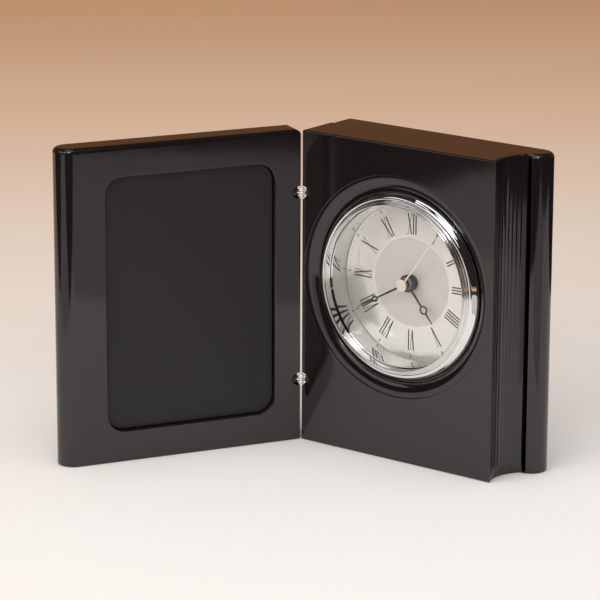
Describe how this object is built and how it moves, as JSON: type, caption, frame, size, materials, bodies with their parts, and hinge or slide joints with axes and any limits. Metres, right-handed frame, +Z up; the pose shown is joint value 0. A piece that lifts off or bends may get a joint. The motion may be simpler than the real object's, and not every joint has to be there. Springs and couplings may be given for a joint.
{
  "type": "book clock",
  "caption": "Desk clock shaped like an open book: a hinged cover with an engraving plate and a block of pages that holds a round quartz clock insert.",
  "frame": {"origin": "on the flat foot of the page block, halfway along the pages' width and halfway through the thick half", "axes": "+Z up along the book's height, -Y the way the clock faces, +X from the spine to the fore-edge of the thick half"},
  "size_m": [0.1663, 0.1224, 0.1334],
  "materials": {
    "lacquered_wood": "high gloss black lacquer",
    "plate_metal": "satin black",
    "hinge_nickel": "polished nickel",
    "bezel_chrome": "polished",
    "reflector_mirror": "polished",
    "lens_glass": "clear",
    "dial_silver": "brushed, spun in the middle",
    "hand_black": "semi-gloss black",
    "hand_white": "satin white",
    "cap_cream": "satin cream",
    "case_plastic": "moulded black",
    "gasket_rubber": "matt",
    "wheel_brass": "stamped",
    "coil_copper": "enamelled copper wire",
    "motor_iron": "plain",
    "board_green": "satin",
    "chip_black": "matt",
    "can_steel": "plain"
  },
  "bodies": {
    "block": {"page_block": "lacquered_wood", "back_cover": "lacquered_wood", "upper_hinge_block_half": "hinge_nickel", "upper_hinge_pin": "hinge_nickel", "lower_hinge_block_half": "hinge_nickel", "lower_hinge_pin": "hinge_nickel", "bezel_ring": "bezel_chrome", "lens": "lens_glass", "reflector_ring": "reflector_mirror", "dial": "dial_silver", "dial_nut": "hand_black", "insert_case": "case_plastic", "gasket_ring": "gasket_rubber", "movement_plate": "case_plastic", "train_bridge": "case_plastic", "bridge_screw_1": "can_steel", "bridge_screw_2": "can_steel", "bridge_screw_3": "can_steel", "stator_plate": "motor_iron", "coil_core": "motor_iron", "coil": "coil_copper", "circuit_board": "board_green", "control_chip": "chip_black", "quartz_crystal": "can_steel", "button_cell": "can_steel", "plus_contact": "can_steel", "minus_contact": "can_steel"},
    "cover": {"front_cover": "lacquered_wood", "engraving_plate": "plate_metal", "upper_hinge_cover_half": "hinge_nickel", "lower_hinge_cover_half": "hinge_nickel"},
    "battery_cap": {"battery_cap": "case_plastic"},
    "second_arbor": {"second_hand": "hand_white", "second_hand_cap": "cap_cream", "second_wheel": "wheel_brass"},
    "minute_arbor": {"minute_hand": "hand_black", "centre_wheel": "wheel_brass"},
    "hour_arbor": {"hour_hand": "hand_black", "hour_wheel": "wheel_brass"},
    "rotor": {"rotor_pinion": "wheel_brass", "rotor_magnet": "motor_iron"},
    "intermediate_arbor": {"intermediate_wheel": "wheel_brass"},
    "third_arbor": {"third_wheel": "wheel_brass"},
    "setting_arbor": {"minute_wheel": "wheel_brass", "setting_knob": "case_plastic"}
  },
  "joints": [
    {"name": "cover_fold", "type": "hinge", "parent": "block", "child": "cover", "pos_m": [-0.0482, -0.0163, 0.0667], "axis": [0, 0, -1], "range_deg": [-119, 61]},
    {"name": "battery_cap_turn", "type": "hinge", "parent": "block", "child": "battery_cap", "pos_m": [-0.0145, 0.0068, 0.066], "axis": [0, 1, 0], "range_deg": [0, 60]},
    {"name": "second_hand_turn", "type": "hinge", "parent": "block", "child": "second_arbor", "pos_m": [0, 0, 0.074], "axis": [0, 1, 0], "continuous": true},
    {"name": "minute_hand_turn", "type": "hinge", "parent": "block", "child": "minute_arbor", "pos_m": [0, 0, 0.074], "axis": [0, 1, 0], "continuous": true},
    {"name": "hour_hand_turn", "type": "hinge", "parent": "block", "child": "hour_arbor", "pos_m": [0, 0, 0.074], "axis": [0, 1, 0], "continuous": true},
    {"name": "rotor_turn", "type": "hinge", "parent": "block", "child": "rotor", "pos_m": [0.0113, 0, 0.08144], "axis": [0, 1, 0], "continuous": true},
    {"name": "intermediate_wheel_turn", "type": "hinge", "parent": "block", "child": "intermediate_arbor", "pos_m": [0.0078, 0, 0.07538], "axis": [0, 1, 0], "continuous": true},
    {"name": "third_wheel_turn", "type": "hinge", "parent": "block", "child": "third_arbor", "pos_m": [-0.00396, 0, 0.08086], "axis": [0, 1, 0], "continuous": true},
    {"name": "setting_knob_turn", "type": "hinge", "parent": "block", "child": "setting_arbor", "pos_m": [0, 0, 0.0656], "axis": [0, 1, 0], "continuous": true}
  ],
  "couplings": [
    {"joint": "minute_hand_turn", "follows": "second_hand_turn", "ratio": 0.016667},
    {"joint": "hour_hand_turn", "follows": "second_hand_turn", "ratio": 0.0013889},
    {"joint": "rotor_turn", "follows": "second_hand_turn", "ratio": 30},
    {"joint": "intermediate_wheel_turn", "follows": "second_hand_turn", "ratio": -5},
    {"joint": "third_wheel_turn", "follows": "second_hand_turn", "ratio": -0.125},
    {"joint": "setting_knob_turn", "follows": "second_hand_turn", "ratio": -0.0055556}
  ]
}
